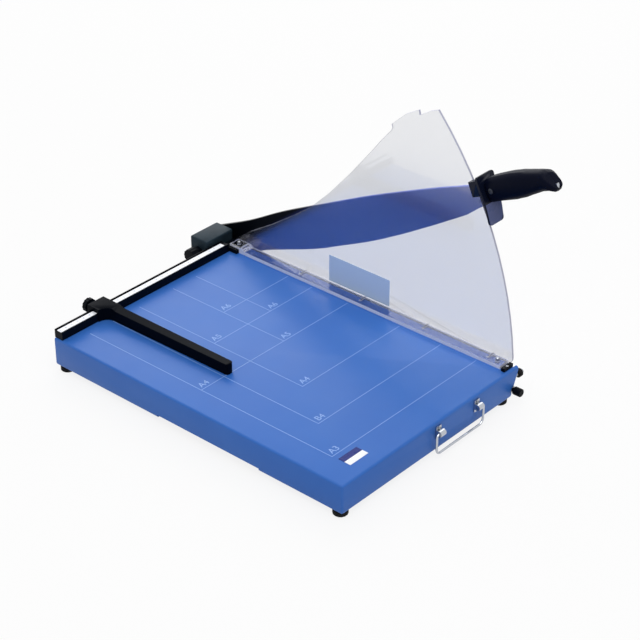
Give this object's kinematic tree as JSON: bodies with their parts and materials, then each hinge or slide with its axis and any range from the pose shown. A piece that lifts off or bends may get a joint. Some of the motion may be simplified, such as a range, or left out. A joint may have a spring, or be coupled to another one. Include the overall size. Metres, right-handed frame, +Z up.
{
  "type": "guillotine paper cutter",
  "caption": "Guillotine paper cutter: blue table on rubber feet, swinging blade with grip, clear guard and clamp strip, rear rail with sliding stop.",
  "frame": {"origin": "centre of the bounding box in plan, on the plane of the rubber feet, with the blade raised as in the picture", "axes": "+Z up, +Y from the user towards the rear rail and the pivot, +X towards the blade side"},
  "size_m": [0.3511, 0.563, 0.3557],
  "materials": {
    "blue_enamel": "semi-gloss blue enamel",
    "beam_paint": "semi-gloss blue enamel",
    "ground_steel": "ground",
    "blackened_steel": "blackened, glossy",
    "anodised_black": "black anodised",
    "scale_white": "matt",
    "casting_paint": "grey-green paint",
    "plastic_black": "satin",
    "moulded_black": "semi-gloss",
    "grip_plastic": "satin",
    "shield_plastic": "glossy",
    "acrylic_clear": "clear acrylic",
    "rubber_black": "matt",
    "chrome_plate": "polished",
    "zinc_steel": "zinc plated",
    "bronze": "sintered"
  },
  "bodies": {
    "base": {"base_shell": "blue_enamel", "edge_beam": "beam_paint", "bed_blade": "ground_steel", "bed_blade_screw_1": "zinc_steel", "bed_blade_screw_2": "zinc_steel", "bed_blade_screw_3": "zinc_steel", "bed_blade_screw_4": "zinc_steel", "foot_front_left": "rubber_black", "foot_rear_left": "rubber_black", "foot_front_right": "rubber_black", "foot_rear_right": "rubber_black", "rail": "anodised_black", "rail_scale": "scale_white", "rail_screw_1": "zinc_steel", "rail_screw_2": "zinc_steel", "rail_screw_3": "zinc_steel", "pivot_housing": "casting_paint", "housing_screw_1": "zinc_steel", "housing_screw_2": "zinc_steel", "pivot_bush_left": "bronze", "pivot_bush_right": "bronze", "return_spring": "ground_steel", "rear_end_block": "plastic_black", "front_end_block": "plastic_black", "front_block_screw": "zinc_steel", "rear_block_screw": "zinc_steel", "guide_pin_rear": "anodised_black", "guide_pin_front": "anodised_black", "bail_ear_left": "chrome_plate", "bail_ear_right": "chrome_plate", "ear_screw_1": "zinc_steel", "ear_screw_2": "zinc_steel", "ear_screw_3": "zinc_steel", "ear_screw_4": "zinc_steel", "blade_bumper": "rubber_black", "bumper_pin": "zinc_steel", "lock_bush": "ground_steel"},
    "blade_arm": {"pivot_shaft": "ground_steel", "pivot_washer": "ground_steel", "pivot_nut": "zinc_steel", "blade": "blackened_steel", "hand_shield": "shield_plastic", "grip_left": "grip_plastic", "grip_right": "grip_plastic", "grip_screw_front": "zinc_steel", "grip_screw_rear": "zinc_steel"},
    "clamp": {"clamp_strip": "acrylic_clear", "guard": "acrylic_clear", "guard_screw_1": "zinc_steel", "guard_screw_2": "zinc_steel", "guard_screw_3": "zinc_steel", "guard_screw_4": "zinc_steel"},
    "stop": {"stop_arm": "moulded_black"},
    "stop_clamp_knob": {"stop_knob": "plastic_black"},
    "preload_knob": {"spring_knob": "plastic_black", "spring_cam": "ground_steel"},
    "carry_bail": {"bail_handle": "chrome_plate"},
    "blade_lock": {"lock_knob": "plastic_black"}
  },
  "joints": [
    {"name": "blade_hinge", "type": "hinge", "parent": "base", "child": "blade_arm", "pos_m": [0.1584, 0.2564, 0.028], "axis": [-1, 0, 0], "range_deg": [-24.75, 16]},
    {"name": "clamp_lift", "type": "slide", "parent": "base", "child": "clamp", "axis": [0, 0, 1], "range_m": [0, 0.0025]},
    {"name": "stop_travel", "type": "slide", "parent": "base", "child": "stop", "axis": [1, 0, 0], "range_m": [-0.058, 0.16]},
    {"name": "stop_knob_turn", "type": "hinge", "parent": "stop", "child": "stop_clamp_knob", "pos_m": [-0.09785, 0.2584, 0.054], "axis": [0, 1, 0], "range_deg": [-120, 120]},
    {"name": "preload_knob_turn", "type": "hinge", "parent": "base", "child": "preload_knob", "pos_m": [0.0964, 0.2564, 0.049], "axis": [1, 0, 0], "range_deg": [-90, 90]},
    {"name": "bail_swing", "type": "hinge", "parent": "base", "child": "carry_bail", "pos_m": [0.0349, -0.2471, 0.0345], "axis": [-1, 0, 0], "range_deg": [-8, 180]},
    {"name": "lock_pull", "type": "slide", "parent": "base", "child": "blade_lock", "axis": [0, -1, 0], "range_m": [0, 0.006]}
  ]
}
